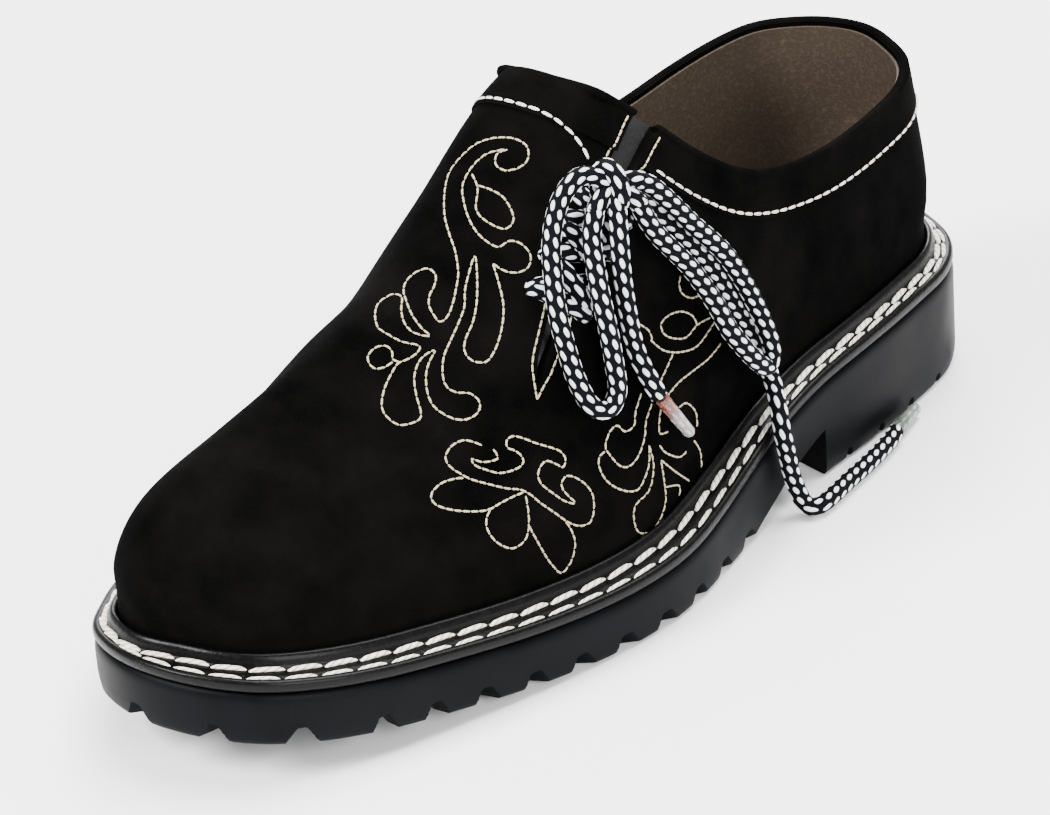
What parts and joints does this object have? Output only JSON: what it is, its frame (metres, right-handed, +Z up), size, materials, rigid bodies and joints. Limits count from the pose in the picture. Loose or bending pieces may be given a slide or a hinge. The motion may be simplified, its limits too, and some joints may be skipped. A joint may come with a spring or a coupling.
{
  "type": "traditional shoe",
  "caption": "Left folk shoe of dark suede, laced at the outer side, with a low instep, wide stitched welt and cleated rubber sole.",
  "frame": {"origin": "on the floor, under the middle of the sole's length and width", "axes": "+Z up, toe towards -Y, heel towards +Y, outer side of the left foot towards +X"},
  "size_m": [0.1203, 0.304, 0.1302],
  "materials": {
    "rubber": "satin blue-black",
    "welt_leather": "polished black",
    "insole_leather": "matte brown",
    "suede": "napped black with off-white embroidery",
    "tongue_leather": "matte black",
    "lace_braid": "black and white round braid",
    "clear_tip": "clear"
  },
  "bodies": {
    "root": {"outsole": "rubber", "welt": "welt_leather", "insole": "insole_leather", "upper": "suede", "side_tongue": "tongue_leather", "lace_crossings": "lace_braid", "lace_knot": "lace_braid", "lace_loop_front": "lace_braid", "lace_loop_rear": "lace_braid", "lace_end_front": "lace_braid", "lace_end_rear": "lace_braid", "aglet_front": "clear_tip", "aglet_rear": "clear_tip"}
  },
  "joints": []
}
